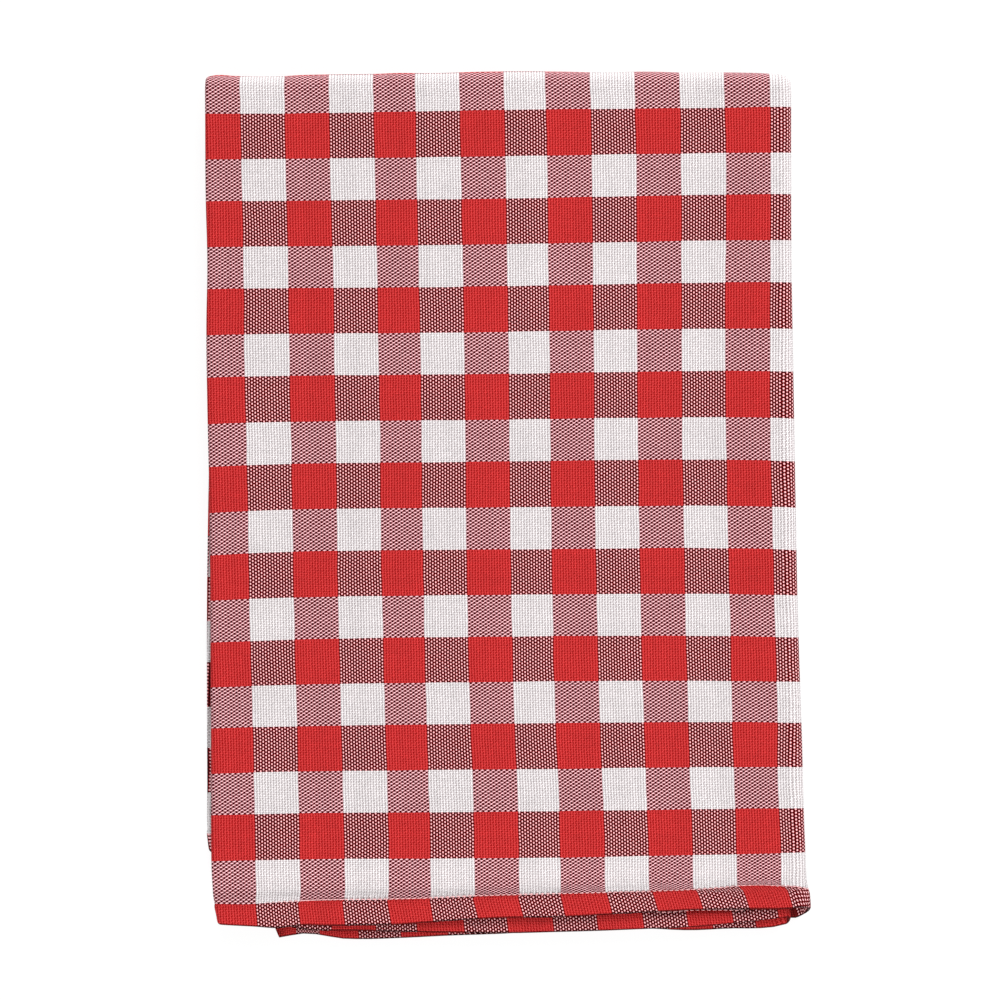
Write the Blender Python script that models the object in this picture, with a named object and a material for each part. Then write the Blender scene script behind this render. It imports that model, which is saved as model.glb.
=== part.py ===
"""A tea towel, folded in quarters across its width and then once in half along its length.

Metres. The towel lies flat on z = 0 with its front to +Z. The crosswise fold is the +Y end, the
hems are the -Y end, and the origin is under the middle of the folded towel.

The cloth is one slab of even thickness with a thicker band at each hem. Its points are worked out
in two steps, as a hand folds it. First the section: four panels stacked back and forth across the
width. Then the crosswise fold, which carries that whole stack round a half turn at the top.
"""

import math

import bmesh
import bpy

# ---- Driving sizes, in metres ------------------------------------------------------------------

CLOTH_LENGTH = 0.500       # hem to hem, before folding
CLOTH_THICK = 0.0010
LAYER_PITCH = 0.00135      # from the middle of one layer to the middle of the next
HEM_THICK = 0.0012
HEM_PITCH = 0.0015         # layer pitch where the hems lie on each other
FOLD_RADIUS = 0.00015      # inside the crosswise fold, below the innermost layer
OUTER_FOLD_REACH = 0.0040  # how far the outer fold stands out beyond the inner one
SIDE_FOLD_REACH = 0.0008   # the same for the two tight folds
SLOPE_LENGTH = 0.0154      # over which the front half comes down past the end of the back half
HEM_RISE_START = 0.0130    # from the shortest hem's edge to where the layers start to spread
HEM_RISE_LENGTH = 0.0042   # over which they spread to the hem pitch
FADE_LENGTH = 0.030        # over which the top edge's unevenness dies away
TOWEL_SPAN = 0.183         # across the folded towel
HEM_DOWN = {1: 0.257, -1: 0.234}   # about how far down the hems lie, on the front and the back half
TOP_LEFT = 0.1304          # the crosswise fold's two ends, up from the middle of the towel
TOP_RIGHT = 0.1313

# The folded outline, as distances from the middle line (across) and from the crosswise fold
# (down). All rows are in millimetres.
MM = 0.001

# The long edges of the front half: left fold, outer fold on the right, inner fold on the right.
FRONT_EDGES = {
    "columns": ("down", "left", "outer", "inner"),
    "rows": (
        (0, -91.7, 85.6, 81.5),
        (37, -91.7, 85.6, 81.6),
        (77, -91.4, 86.0, 81.9),
        (128, -90.6, 86.9, 82.3),
        (159, -90.2, 87.5, 82.8),
        (203, -89.9, 88.9, 83.5),
        (230, -89.8, 89.6, 84.0),
        (243, -89.7, 90.5, 84.5),
        (250, -89.3, 91.4, 85.1),
        (256, -88.1, 91.7, 85.5),
        (263, -87.5, 91.7, 85.5),
    ),
}

# The same for the back half, which lies turned a little, so its left edge shows past the front.
BACK_EDGES = {
    "columns": ("down", "left", "outer", "inner"),
    "rows": (
        (0, -91.7, 85.6, 81.5),
        (75, -91.0, 86.0, 81.7),
        (110, -90.9, 86.4, 81.9),
        (159, -91.6, 86.8, 82.2),
        (215, -91.5, 87.0, 82.4),
        (229, -91.4, 87.0, 82.4),
        (236, -90.6, 86.6, 82.2),
    ),
}

# How far the tail panel's free edge lies from the left fold. Its corner at the hem is pointed.
TAIL_EDGE = {
    "columns": ("down", "inset"),
    "rows": ((0, 14.0), (240, 16.0), (256, 16.0), (258.5, 16.4), (262, 18.2)),
}

# How far down each panel of the front half reaches: its hem, from the left fold to the outer one.
HEM_EDGES = {
    "columns": ("across", "under", "tail", "second", "front"),
    "rows": (
        (-92, 256.4, 261.6, 256.6, 257.2),
        (-77, 257.0, 261.6, 257.2, 257.9),
        (-70, 257.2, 261.6, 257.6, 258.1),
        (-62, 257.2, 260.4, 259.2, 257.3),
        (-53, 257.2, 262.0, 259.6, 257.6),
        (-34, 257.0, 261.8, 260.0, 257.4),
        (-20, 256.8, 261.1, 260.3, 256.3),
        (0, 256.6, 260.5, 260.6, 255.3),
        (28, 256.2, 259.4, 260.0, 254.7),
        (55, 255.6, 260.1, 259.0, 253.5),
        (76, 255.9, 259.6, 257.1, 253.5),
        (82, 256.5, 259.0, 256.4, 253.5),
        (88, 256.7, 257.6, 255.9, 253.1),
        (92, 255.0, 257.1, 255.9, 252.4),
    ),
}

# The same for the back half, where each hem is a straight line.
BACK_HEMS = {
    "columns": ("panel", "left", "right"),
    "rows": (
        ("under", 233.8, 231.6),
        ("tail", 234.4, 232.4),
        ("second", 235.2, 233.0),
        ("front", 235.8, 233.6),
    ),
}

# The slab's thickness near a hem's edge: a rounded rim, the turned band, and the line of stitches
# that draws the cloth in.
HEM_PROFILE = {
    "columns": ("from_hem", "thick"),
    "rows": ((0.0, 0.8), (0.8, 1.2), (3.6, 1.2), (6.2, 1.2), (7.2, 0.8), (8.4, 1.0)),
}

# How far up the crosswise fold reaches along its length.
TOP_EDGE = {
    "columns": ("across", "up"),
    "rows": ((-92, 130.5), (-66, 130.2), (-10, 131.1), (50, 131.3), (88, 130.6)),
}

# Where the front half starts to come down, measured from the crosswise fold.
SLOPE_START = {"columns": ("across", "down"), "rows": ((-92, 234.0), (92, 232.4))}

# Where the folded stack is fuller than its layers alone: a share of the local height, highest at
# (across, up) and dying away over the two radii.
SWELLS = {
    "columns": ("across", "up", "wide", "long", "share"),
    "rows": (
        (-90, 20, 16, 150, 0.07),
        (88, 0, 18, 170, 0.09),
        (0, 131, 120, 16, 0.06),
        (-30, 70, 34, 40, 0.025),
        (40, 20, 40, 34, 0.030),
        (-45, -50, 30, 38, 0.030),
        (52, -75, 26, 30, 0.025),
    ),
}

# ---- How finely the slab is divided ---------------------------------------------------------------

# Columns of points along the section, from the under panel's edge to the tail panel's edge.
SECTION = {
    "columns": ("part", "kind", "steps"),
    "rows": (
        ("under", "panel", 8),
        ("outer", "fold", 8),
        ("front", "panel", 10),
        ("left", "fold", 6),
        ("second", "panel", 9),
        ("inner", "fold", 6),
        ("tail", "panel", 10),
    ),
}
EDGE_CROWDING = 0.6        # 0 spaces a panel's columns evenly, 1 packs them closest at its edges
# Rows of points from hem to hem: close together at the hems, on the slope and round the fold.
HEM_ROWS = tuple(row[0] for row in HEM_PROFILE["rows"])
FRONT_END_ROWS = HEM_ROWS + (10.5, 12.5, 14.5, 16.5, 18.5, 20.5, 22.5, 25.0, 28.0)
BACK_END_ROWS = HEM_ROWS + (14.0, 20.0)
BODY_STEPS = 8
FOLD_STEPS = 12


# ---- Small helpers --------------------------------------------------------------------------------

def rows_of(table):
    """Each row of a table as a dictionary with the table's column names."""
    return [dict(zip(table["columns"], row)) for row in table["rows"]]


def ease(t):
    """0 to 1 with level ends."""
    t = min(max(t, 0.0), 1.0)
    return 0.5 - 0.5 * math.cos(math.pi * t)


def mix(a, b, t):
    return a + (b - a) * t


def read(table, key, value, column):
    """A smooth curve through a table's rows, read at value, in metres."""
    rows = rows_of(table)
    at = [row[key] * MM for row in rows]
    to = [row[column] * MM for row in rows]
    if value <= at[0]:
        return to[0]
    if value >= at[-1]:
        return to[-1]
    slopes = [(to[i + 1] - to[i]) / (at[i + 1] - at[i]) for i in range(len(at) - 1)]
    bends = [slopes[0]] + [(a + b) / 2 for a, b in zip(slopes, slopes[1:])] + [slopes[-1]]
    i = max(k for k in range(len(at) - 1) if at[k] <= value)
    width = at[i + 1] - at[i]
    t = (value - at[i]) / width
    return (
        (2 * t**3 - 3 * t**2 + 1) * to[i]
        + (t**3 - 2 * t**2 + t) * width * bends[i]
        + (3 * t**2 - 2 * t**3) * to[i + 1]
        + (t**3 - t**2) * width * bends[i + 1]
    )


# ---- The section: four panels folded back and forth -----------------------------------------------

# The panels from the bottom of the front half's stack to its top, counted in layers.
LEVELS = {"under": 0, "tail": 1, "second": 2, "front": 3}
# Which panels each fold joins, in the order in which the cloth passes them.
FOLDS = {
    "outer": ("under", "front"),
    "left": ("front", "second"),
    "inner": ("second", "tail"),
}
BACK_HEM = {row["panel"]: row for row in rows_of(BACK_HEMS)}
# Which edges a panel runs between, in the order in which the cloth passes them.
RUNS = {
    "under": ("free_under", "outer"),
    "front": ("outer", "left"),
    "second": ("left", "inner"),
    "tail": ("inner", "free_tail"),
}
REACH = {"outer": OUTER_FOLD_REACH, "left": SIDE_FOLD_REACH, "inner": SIDE_FOLD_REACH}
UNDER_EDGE_INSET = 0.0016   # from the left fold's edge to the under panel's free edge


def edge_places(side, down):
    """Where the section's folds and free edges lie across the towel, this far down it."""
    table = FRONT_EDGES if side >= 0 else BACK_EDGES
    places = {name: read(table, "down", down, name) for name in ("left", "outer", "inner")}
    half = CLOTH_THICK / 2
    places["left"] += half
    places["outer"] -= half
    places["inner"] -= half
    places["free_under"] = places["left"] + UNDER_EDGE_INSET
    places["free_tail"] = places["left"] + read(TAIL_EDGE, "down", down, "inset")
    return places


def section_point(part, kind, t, places, pitch):
    """Across and up in the flat stack, with the outward direction of the cloth's face."""
    if kind == "panel":
        start, end = (
            places[name] + (0 if name.startswith("free") else inward(name))
            for name in RUNS[part]
        )
        faces_up = part in ("front", "tail")
        height = (LEVELS[part] + 0.5) * pitch
        return mix(start, end, t), height, 0.0, 1.0 if faces_up else -1.0
    low, high = (LEVELS[name] + 0.5 for name in FOLDS[part])
    middle, rise = (low + high) / 2 * pitch, (high - low) / 2 * pitch
    reach = -REACH[part] if part == "left" else REACH[part]
    centre = places[part] - reach
    angle = math.pi * (t - 0.5)
    across, up = math.cos(angle) * reach, math.sin(angle) * rise
    face = math.cos(angle) / reach, math.sin(angle) / rise
    size = math.hypot(*face) * (-1 if part == "inner" else 1)
    return centre + across, middle + up, face[0] / size, face[1] / size


def inward(name):
    """From a fold's edge to where the flat panel starts."""
    return REACH[name] if name == "left" else -REACH[name]


def panel_reach(panel, across, side):
    """How far from the crosswise fold one panel's hem lies, at this place across the towel."""
    if side > 0:
        return read(HEM_EDGES, "across", across, panel)
    t = min(max(across / TOWEL_SPAN + 0.5, 0.0), 1.0)
    row = BACK_HEM[panel]
    return mix(row["left"], row["right"], t) * MM


def hem_reach(part, kind, t, across, side):
    """The same for a point of the section: a fold's hem runs from one panel's to the next's."""
    reaches = [panel_reach(panel, across, side) for panel in FOLDS.get(part, (part, part))]
    return mix(reaches[0], reaches[1], ease(t) if kind == "fold" else 0.0)


# ---- Thickness and pitch near the hems ------------------------------------------------------------

def thickness(from_hem):
    """The slab's thickness this far from the hem's edge."""
    rows = [(at * MM, thick * MM) for at, thick in HEM_PROFILE["rows"]]
    for (near, thick_near), (far, thick_far) in zip(rows, rows[1:]):
        if from_hem <= far:
            return mix(thick_near, thick_far, (from_hem - near) / (far - near))
    return CLOTH_THICK


def spread(down, shortest):
    """0 in the body and 1 where the hems lie on each other."""
    return ease((down - shortest + HEM_RISE_START) / HEM_RISE_LENGTH)


def shortest_hem(side, across):
    return min(panel_reach(panel, across, side) for panel in LEVELS)


# ---- The crosswise fold ---------------------------------------------------------------------------

TOP_LEVEL = max(LEVELS.values()) + 0.5
BODY_TOP = TOP_LEVEL * LAYER_PITCH + CLOTH_THICK / 2   # the stack's height above its base line
FOLD_SIZE = FOLD_RADIUS + BODY_TOP                     # the fold's outer radius, and its axis's height
HEM_TOP = TOP_LEVEL * HEM_PITCH + HEM_THICK / 2
FRONT_BASE = FOLD_SIZE + FOLD_RADIUS
LEAN_STEP = 0.0002                                     # for measuring how steeply the base line runs
GROUND_BASE = -(0.5 * HEM_PITCH - HEM_THICK / 2)       # the under panel's hem then lies on z = 0


def front_base(down, across):
    """Height of the front half's base line: level, over the back half's hems, then down."""
    bump = (HEM_TOP - BODY_TOP) * spread(down, shortest_hem(-1, across))
    start = read(SLOPE_START, "across", across, "down")
    fall = ease((down - start) / SLOPE_LENGTH)
    return mix(FRONT_BASE + bump, GROUND_BASE, fall)


def top_edge(across, down):
    """How far up the crosswise fold reaches. Its unevenness dies away from the fold."""
    level = mix(TOP_LEFT, TOP_RIGHT, across / TOWEL_SPAN + 0.5)
    fade = math.exp(-((down / FADE_LENGTH) ** 2))
    return mix(level, read(TOP_EDGE, "across", across, "up"), fade)


def fullness(across, up):
    """How much fuller the stack is here than its layers alone."""
    total = 1.0
    for swell in rows_of(SWELLS):
        sideways = (across / MM - swell["across"]) / swell["wide"]
        lengthways = (up / MM - swell["up"]) / swell["long"]
        total += swell["share"] * math.exp(-(sideways**2) - lengthways**2)
    return total


# ---- One point of the folded slab -----------------------------------------------------------------

def row_list():
    """Every row of points from the back hem, round the crosswise fold, to the front hem."""
    back = [(-1, "end", d * MM) for d in BACK_END_ROWS]
    back += [(-1, "body", 1 - i / BODY_STEPS) for i in range(1, BODY_STEPS)]
    turn = [(0, "turn", -math.pi / 2 + math.pi * i / FOLD_STEPS) for i in range(FOLD_STEPS + 1)]
    front = [(1, "body", i / BODY_STEPS) for i in range(1, BODY_STEPS)]
    front += [(1, "end", d * MM) for d in reversed(FRONT_END_ROWS)]
    return back + turn + front


def column_list():
    """Every column of points along the section, from the under panel's edge to the tail's."""
    columns = []
    for i, row in enumerate(rows_of(SECTION)):
        first = 0 if i == 0 else 1
        for step in range(first, row["steps"] + 1):
            t = step / row["steps"]
            if row["kind"] == "panel":
                t = mix(t, ease(t), EDGE_CROWDING)
            columns.append((row["part"], row["kind"], t))
    return columns


def place(row, column, face):
    """Where a point of the flat slab lies once folded. face is 1 on its face and -1 on its back."""
    side, kind, value = row
    part, part_kind, t = column
    if side == 0:
        down, from_hem = 0.0, CLOTH_LENGTH / 2
        places = edge_places(1, 0.0)
    else:
        across = section_point(part, part_kind, t, edge_places(side, HEM_DOWN[side]), LAYER_PITCH)[0]
        length = hem_reach(part, part_kind, t, across, side)
        body_end = length - max(FRONT_END_ROWS if side > 0 else BACK_END_ROWS) * MM
        down = length - value if kind == "end" else mix(FOLD_SIZE, body_end, value)
        from_hem = length - down
        places = edge_places(side, down)
    across = section_point(part, part_kind, t, places, LAYER_PITCH)[0]
    near_hem = spread(down, shortest_hem(side, across)) if side else 0.0
    pitch = mix(LAYER_PITCH, HEM_PITCH, near_hem)
    across, up, face_across, face_up = section_point(part, part_kind, t, places, pitch)
    half = thickness(from_hem) / 2 * face
    across += face_across * half
    up += face_up * half

    reach = top_edge(across, down)
    if side == 0:
        radius = FOLD_RADIUS + up
        y = reach - FOLD_SIZE + radius * math.cos(value)
        z = FOLD_SIZE + radius * math.sin(value)
    elif side < 0:
        y = reach - down
        z = mix(BODY_TOP, HEM_TOP, near_hem) - up
    else:
        lean = (
            front_base(down - LEAN_STEP, across) - front_base(down + LEAN_STEP, across)
        ) / (2 * LEAN_STEP)
        size = math.hypot(1.0, lean)
        y = reach - down - up * lean / size
        z = front_base(down, across) + up / size
    return across, y, z * fullness(across, y)


# ---- Objects --------------------------------------------------------------------------------------

def clear_scene():
    for thing in list(bpy.data.objects):
        bpy.data.objects.remove(thing, do_unlink=True)


def material(name, colour, roughness):
    found = bpy.data.materials.new(name)
    found.use_nodes = True
    shader = found.node_tree.nodes["Principled BSDF"]
    shader.inputs["Base Color"].default_value = (*colour, 1.0)
    shader.inputs["Roughness"].default_value = roughness
    shader.inputs["Metallic"].default_value = 0.0
    return found


def folded_slab():
    """The cloth cut flat as a grid, given its thickness, and each point carried to its fold."""
    rows, columns = row_list(), column_list()
    mesh = bmesh.new()
    sheets = {
        face: [[mesh.verts.new(place(row, column, face)) for column in columns] for row in rows]
        for face in (1, -1)
    }
    for i in range(len(rows) - 1):
        for j in range(len(columns) - 1):
            for face, sheet in sheets.items():
                corners = [sheet[i][j], sheet[i][j + 1], sheet[i + 1][j + 1], sheet[i + 1][j]]
                mesh.faces.new(corners if face > 0 else corners[::-1])
    rims = (
        [(i, 0) for i in range(len(rows))],
        [(len(rows) - 1, j) for j in range(len(columns))],
        [(i, len(columns) - 1) for i in reversed(range(len(rows)))],
        [(0, j) for j in reversed(range(len(columns)))],
    )
    for rim in rims:
        for (i, j), (k, m) in zip(rim, rim[1:]):
            mesh.faces.new([sheets[1][k][m], sheets[1][i][j], sheets[-1][i][j], sheets[-1][k][m]])
    bmesh.ops.recalc_face_normals(mesh, faces=mesh.faces)
    return mesh


def build_towel():
    mesh = folded_slab()
    if mesh.calc_volume(signed=True) < 0:
        bmesh.ops.reverse_faces(mesh, faces=mesh.faces)
    data = bpy.data.meshes.new("towel")
    mesh.to_mesh(data)
    mesh.free()
    data.shade_smooth()
    data.set_sharp_from_angle(angle=math.radians(50))
    data.materials.append(material("checked cotton", (0.46, 0.13, 0.14), 0.92))
    towel = bpy.data.objects.new("towel", data)
    bpy.context.scene.collection.objects.link(towel)
    return towel


clear_scene()
build_towel()
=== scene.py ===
"""A checked cotton tea towel, folded in eight and lying on a pale floor, seen from above.

The cloth is worked out as the frame's solid is: a section of four panels stacked back and forth,
carried round a crosswise fold at the top. Here the slab is thinner and much finer, and every point
keeps its place in the flat cloth, counted in threads, so the weave runs true round every fold.
"""

import math

import bmesh
import bpy
import numpy as np
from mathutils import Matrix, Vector


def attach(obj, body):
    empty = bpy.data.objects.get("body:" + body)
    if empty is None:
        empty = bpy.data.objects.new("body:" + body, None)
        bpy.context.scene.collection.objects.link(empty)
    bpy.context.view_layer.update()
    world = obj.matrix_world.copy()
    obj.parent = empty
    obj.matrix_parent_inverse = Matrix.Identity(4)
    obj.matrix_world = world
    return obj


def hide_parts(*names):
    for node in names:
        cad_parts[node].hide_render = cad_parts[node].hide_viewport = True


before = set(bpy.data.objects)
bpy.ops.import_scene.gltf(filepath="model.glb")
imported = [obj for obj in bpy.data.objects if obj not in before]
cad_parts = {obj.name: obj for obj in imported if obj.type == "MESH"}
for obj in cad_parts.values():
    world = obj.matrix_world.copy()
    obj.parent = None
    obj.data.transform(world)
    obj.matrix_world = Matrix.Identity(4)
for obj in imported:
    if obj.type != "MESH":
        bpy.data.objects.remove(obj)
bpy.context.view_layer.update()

# ---- Driving sizes, in metres -------------------------------------------------------------------

MM = 0.001
CLOTH_LENGTH = 0.500
CLOTH_THICK = 0.00070
LAYER_PITCH = 0.00135      # from one layer to the next
HEM_PITCH = 0.00150        # the same where the hems lie on each other
HEM_THICK = 0.00125
HEM_WIDTH = 0.0070
FOLD_RADIUS = 0.00015      # inside the crosswise fold
CLEARANCE = 0.00004        # under the towel, so that it doesn't share the floor's plane
OUTER_FOLD_REACH = 0.0040
SIDE_FOLD_REACH = 0.0008
SLOPE_LENGTH = 0.0154      # over which the front half comes down behind the back half's hems
HEM_RISE_START = 0.0130    # above the shortest hem, where the layers start to part
HEM_RISE_LENGTH = 0.0042
FADE_LENGTH = 0.030        # over which the unevenness of the crosswise fold dies away
TOWEL_SPAN = 0.183         # the folded towel's width
TOP_LEFT = 0.1304          # how far up the crosswise fold's smooth line lies at both sides
TOP_RIGHT = 0.1313
UNDER_EDGE_INSET = 0.0016
HEM_DOWN = {1: 0.257, -1: 0.234}   # about how far down the hems lie, on the front and the back half

# All rows of the tables are in millimetres. Across runs from the towel's middle line to the right,
# down from the crosswise fold to the hems, and up from the middle of the towel to that fold.

# How far out the section's folds reach, on the front half and on the back half.
FRONT_EDGES = {
    "columns": ("down", "left", "outer", "inner"),
    "rows": (
        (0, -91.7, 85.6, 81.5), (37, -91.5, 85.6, 81.6), (57, -91.0, 85.7, 81.7),
        (77, -91.3, 86.0, 81.9), (100, -91.0, 86.4, 82.0), (128, -90.4, 86.9, 82.3),
        (159, -90.1, 87.5, 82.8), (183, -90.0, 88.2, 83.2), (203, -89.9, 88.9, 83.5),
        (230, -89.8, 89.6, 84.0), (243, -89.7, 90.5, 84.5), (250, -89.3, 91.4, 85.1),
        (256, -88.1, 91.7, 85.5), (263, -87.5, 91.7, 85.5),
    ),
}
BACK_EDGES = {
    "columns": ("down", "left", "outer", "inner"),
    "rows": (
        (0, -91.7, 85.6, 81.5), (75, -91.0, 86.0, 81.7), (110, -90.9, 86.4, 81.9),
        (135, -91.3, 86.6, 82.1), (159, -91.6, 86.8, 82.2), (215, -91.5, 87.0, 82.4),
        (229, -91.4, 87.0, 82.4), (236, -90.6, 86.6, 82.2),
    ),
}
# How far the tail panel's free edge lies from the left fold, on the front half.
TAIL_EDGE = {
    "columns": ("down", "inset"),
    "rows": ((0, 14.0), (240, 16.0), (256, 16.3), (258.5, 16.6), (262, 17.8)),
}

# How far down each panel of the front half reaches: its hem, from the left fold to the outer fold.
HEM_EDGES = {
    "columns": ("across", "under", "tail", "second", "front"),
    "rows": (
        (-92, 256.4, 261.6, 256.9, 257.0), (-87, 256.8, 261.6, 257.0, 257.5),
        (-77, 257.0, 261.6, 257.2, 258.1), (-70, 257.2, 261.6, 257.6, 258.6),
        (-66, 257.2, 260.8, 258.4, 258.2), (-62, 257.2, 260.5, 259.2, 257.7),
        (-58, 257.2, 261.0, 259.5, 257.9), (-53, 257.2, 262.0, 259.6, 258.0),
        (-46, 257.0, 262.3, 259.6, 257.9), (-34, 257.0, 262.0, 260.0, 257.8),
        (-20, 256.8, 261.4, 260.3, 256.8), (0, 256.6, 260.75, 260.6, 255.8),
        (15, 256.4, 259.75, 260.3, 255.7), (28, 256.2, 259.4, 260.0, 255.1),
        (42, 256.0, 259.5, 259.5, 254.4), (55, 255.6, 260.1, 259.0, 253.8),
        (68, 255.6, 259.6, 257.9, 253.7), (76, 255.9, 259.6, 257.1, 253.7),
        (82, 256.5, 259.0, 256.4, 253.7), (86, 256.9, 257.9, 255.9, 253.5),
        (88, 256.4, 257.6, 255.9, 253.2), (90, 255.7, 257.4, 255.9, 252.9),
        (92, 255.0, 257.1, 255.9, 252.4),
    ),
}
# The same for the back half, at its left and its right side.
BACK_HEMS = {"under": (233.8, 231.6), "tail": (234.4, 232.4), "second": (235.2, 233.0),
             "front": (235.8, 233.6)}

# The second panel's hem is narrower on the right, where its stitches show below the front's hem.
SECOND_HEM = {
    "columns": ("across", "band"),
    "rows": (
        (-92, 7.0), (36, 6.6), (42, 5.9), (46, 4.9), (56, 4.95), (62, 4.5), (66, 4.1), (72, 3.6),
        (75, 4.0), (78, 4.2), (84, 4.2),
    ),
}

# The slab's thickness near a hem: a rounded rim, the turned band, and the groove of the stitches.
HEM_PROFILE = {
    "columns": ("from_hem", "thick"),
    "rows": (
        (0.0, 0.50), (0.2, 0.86), (0.5, 1.12), (0.9, 1.25), (3.6, 1.27), (5.4, 1.26), (6.0, 1.16),
        (6.5, 0.92), (6.9, 0.66), (7.2, 0.56), (7.5, 0.60), (8.0, 0.72), (8.6, 0.74), (10.0, 0.70),
    ),
}
# How far up the uneven crosswise fold reaches.
TOP_EDGE = {
    "columns": ("across", "up"),
    "rows": (
        (-92, 129.9), (-88, 130.6), (-83, 130.3), (-71, 130.1), (-62, 130.6), (-41, 130.9),
        (-33, 131.2), (-24, 131.1), (-7, 131.6), (16, 131.6), (31, 131.3), (40, 131.6),
        (56, 131.3), (65, 131.4), (75, 131.2), (82, 130.8), (88, 130.2),
    ),
}
# Where the front half starts to come down.
SLOPE_START = {"columns": ("across", "down"), "rows": ((-92, 234.0), (92, 232.4))}
# Where the cloth lies fuller: the middle and size of each swell, and its share of the height.
SWELLS = {
    "columns": ("across", "up", "wide", "long", "share"),
    "rows": (
        (-90, 20, 16, 150, 0.07), (88, 0, 18, 170, 0.09), (0, 131, 120, 16, 0.06),
        (-30, 70, 34, 40, 0.025), (40, 20, 40, 34, 0.030), (-45, -50, 30, 38, 0.030),
        (52, -75, 26, 30, 0.025),
    ),
}

# ---- How finely the slab is divided -------------------------------------------------------------

SECTION = {
    "columns": ("part", "kind", "steps"),
    "rows": (
        ("under", "panel", 34), ("outer", "fold", 16), ("front", "panel", 96),
        ("left", "fold", 10), ("second", "panel", 38), ("inner", "fold", 10),
        ("tail", "panel", 40),
    ),
}
# How far from the hem the rows of points next to it lie.
HEM_ROWS = (0.0, 0.2, 0.5, 0.9, 1.6, 2.6, 3.6, 4.6, 5.4, 6.0, 6.5, 6.9, 7.2, 7.5, 8.0, 8.6, 9.3)
FRONT_END_ROWS = HEM_ROWS + (
    10.2, 11.2, 12.2, 13.2, 14.2, 15.2, 16.2, 17.2, 18.2, 19.2, 20.2, 21.2, 22.4, 24.0, 26.0, 28.0)
BACK_END_ROWS = HEM_ROWS + (11.0, 13.0, 16.0, 20.0)
FRONT_STEPS, BACK_STEPS, FOLD_STEPS = 82, 30, 22

# ---- The check, counted in threads --------------------------------------------------------------

ENDS = 16                  # warp threads in a band of the check
RED_PICKS, WHITE_PICKS = 26, 24
REPEAT = RED_PICKS + WHITE_PICKS
PICK = 0.0265 / REPEAT     # the width of a weft thread
END = 0.000838             # and of a warp thread
NARROW_BANDS = (63, 110)   # where a band of the warp has one thread less
FIRST_END, FIRST_PICK = 416, 500   # added to the counts, which then start at about zero
THREADS_PER_UNIT = 1000.0  # of the UV layer that holds those counts

# Where the check's lines lie on the front: picks from the first red row, and how far down that is
# at five even places from the left edge to the right one.
ROW_LINES = {
    "columns": ("picks", "left", "near_left", "middle", "near_right", "right"),
    "rows": (
        (0, 12.0, 11.8, 11.3, 11.0, 10.7), (50, 38.5, 38.3, 38.0, 37.4, 37.2),
        (100, 65.0, 64.8, 64.5, 63.9, 63.9), (150, 91.7, 91.2, 91.0, 90.5, 91.0),
        (200, 118.8, 117.7, 117.5, 117.2, 118.2), (250, 145.6, 144.2, 144.1, 143.9, 144.9),
        (300, 171.9, 170.7, 170.4, 170.4, 171.3), (350, 197.8, 197.0, 196.7, 196.5, 197.0),
        (400, 224.0, 223.4, 223.3, 222.9, 222.7), (426, 237.9, 237.3, 237.3, 236.9, 236.0),
        (443, 247.5, 247.0, 246.5, 245.6, 244.6), (450, 251.2, 249.95, 249.0, 247.7, 246.5),
    ),
}
# How much further down the front hem's line of stitches lies than the smooth curve of its row.
LINE_SHIFT = {
    "columns": ("across", "down"),
    "rows": (
        (-92, 0.0), (-89, 0.05), (-83, 0.45), (-78, 0.65), (-74, 0.45), (-70, 0.35), (-64, 0.2),
        (-56, 0.05), (-50, 0.1), (-36, 0.3), (-24, 0.25), (-10, 0.0), (20, 0.0), (60, 0.0),
        (66, -0.25), (71, -0.55), (79, -0.5), (83, -0.15), (87, 0.0), (89.5, 0.6), (92, 1.5),
    ),
}
# Where four threads of the warp lie on the front panel.
FRONT_ENDS = {
    "columns": ("down", 0, 63, 126, 190),
    "rows": (
        (0, -81.2, -28.3, 24.6, 79.0), (31, -80.6, -27.7, 25.3, 79.3),
        (58, -80.0, -27.1, 25.5, 79.2), (84, -79.8, -26.6, 25.8, 79.0),
        (111, -79.2, -26.2, 26.0, 79.2), (137, -78.6, -26.0, 26.3, 79.8),
        (164, -78.2, -25.5, 26.8, 80.5), (190, -77.4, -24.9, 27.4, 81.2),
        (217, -76.8, -24.0, 28.5, 81.5), (243, -76.4, -23.5, 29.3, 82.7),
        (251, -76.6, -23.7, 29.5, 82.9),
    ),
}
# Which warp threads lie at both ends of the other panels, at the top and the bottom of the towel.
END_COUNTS = {
    "columns": ("panel", "start_top", "start_bottom", "end_top", "end_bottom"),
    "rows": (
        ("second", -14.3, -18.1, -218.3, -226.6),
        ("tail", -221.0, -229.4, -409.9, -425.0),
        ("under", 408.0, 409.0, 204.4, 205.0),
    ),
}
# Which warp threads of the second panel and of the tail lie along their hems.
SECOND_HEM_ENDS = {
    "columns": ("across", "end"),
    "rows": (
        (-92, -17.7), (-88, -22.5), (-77, -35.3), (-66.2, -48.4), (-53.6, -64.4), (-40.3, -80.4),
        (-27.7, -96.5), (-13.6, -112.5), (-0.4, -128.6), (13.6, -144.6), (27.1, -160.6),
        (41.0, -176.6), (54.6, -192.7), (68.4, -208.7), (82.1, -224.7), (86, -229.3),
    ),
}
TAIL_HEM_ENDS = {
    "columns": ("across", "end"),
    "rows": (
        (-72, -428), (-64.5, -416), (-57.8, -400), (-46.0, -384), (-33.2, -368), (-19.1, -352),
        (60.7, -256), (74.0, -240), (84.0, -228.0),
    ),
}
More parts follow.
